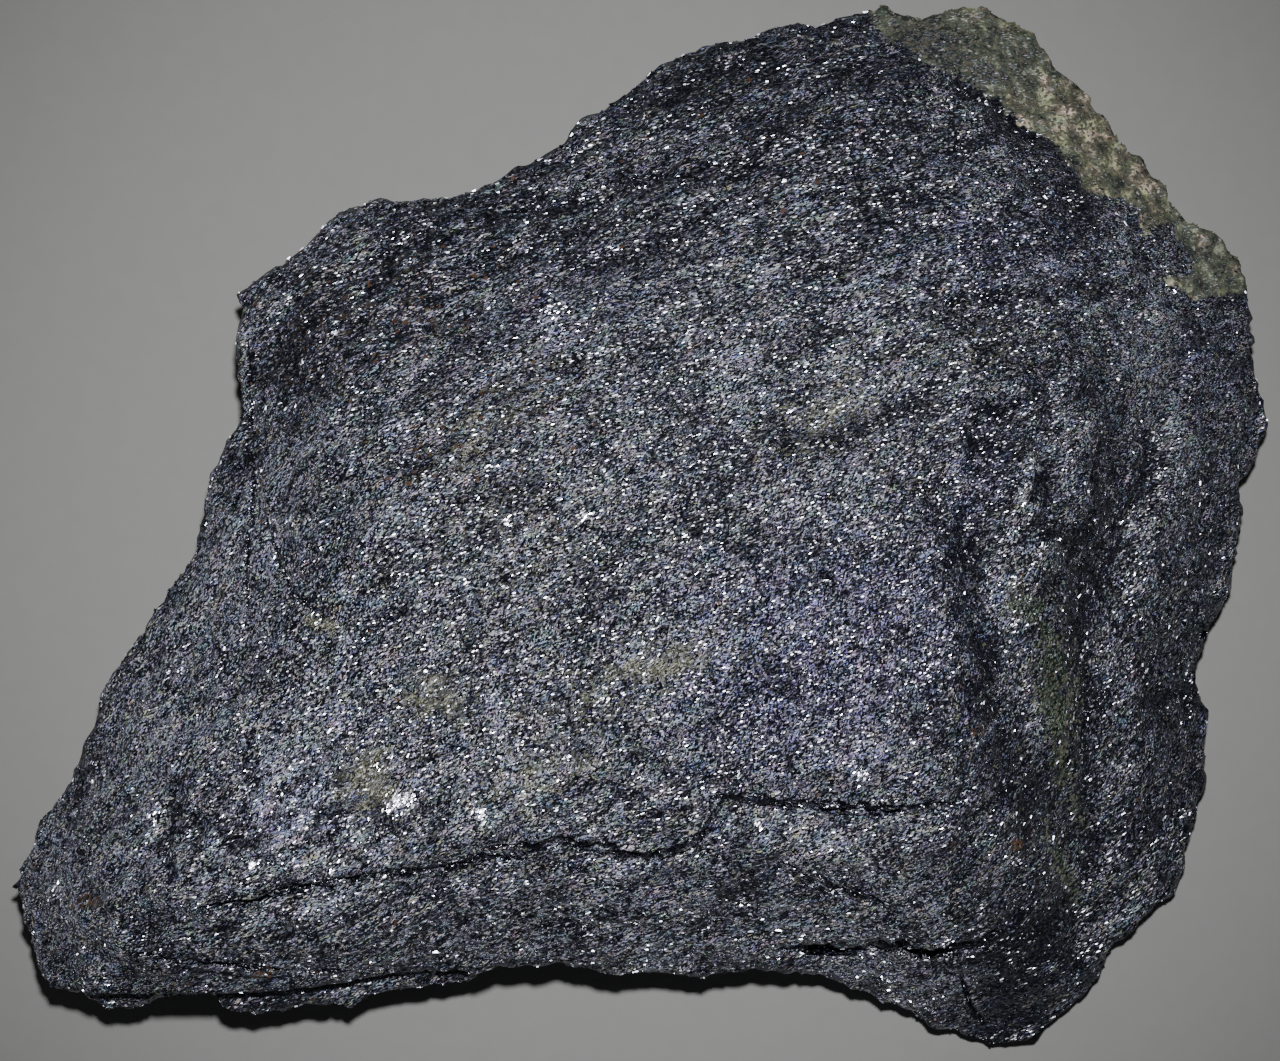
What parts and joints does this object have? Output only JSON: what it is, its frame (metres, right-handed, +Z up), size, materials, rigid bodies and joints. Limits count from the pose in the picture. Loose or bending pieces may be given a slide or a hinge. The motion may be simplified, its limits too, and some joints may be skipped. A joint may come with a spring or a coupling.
{
  "type": "blueschist rock specimen",
  "caption": "Slab-like blueschist hand specimen with broken layered sides, a gently waved upper face, a trough and a pale green band at one corner.",
  "frame": {"origin": "on the table, in the flat face underneath, under the middle of the stone's outline", "axes": "+X to the right along the longest way across, +Y away from the lipped front edge, +Z up, square to the layers"},
  "size_m": [0.1261, 0.1044, 0.0399],
  "materials": {
    "blueschist": "dark blue-grey schist with glittering blue-black amphibole and mica grains, pale green vein in one corner, roughly broken"
  },
  "bodies": {
    "root": {"rock": "blueschist"}
  },
  "joints": []
}
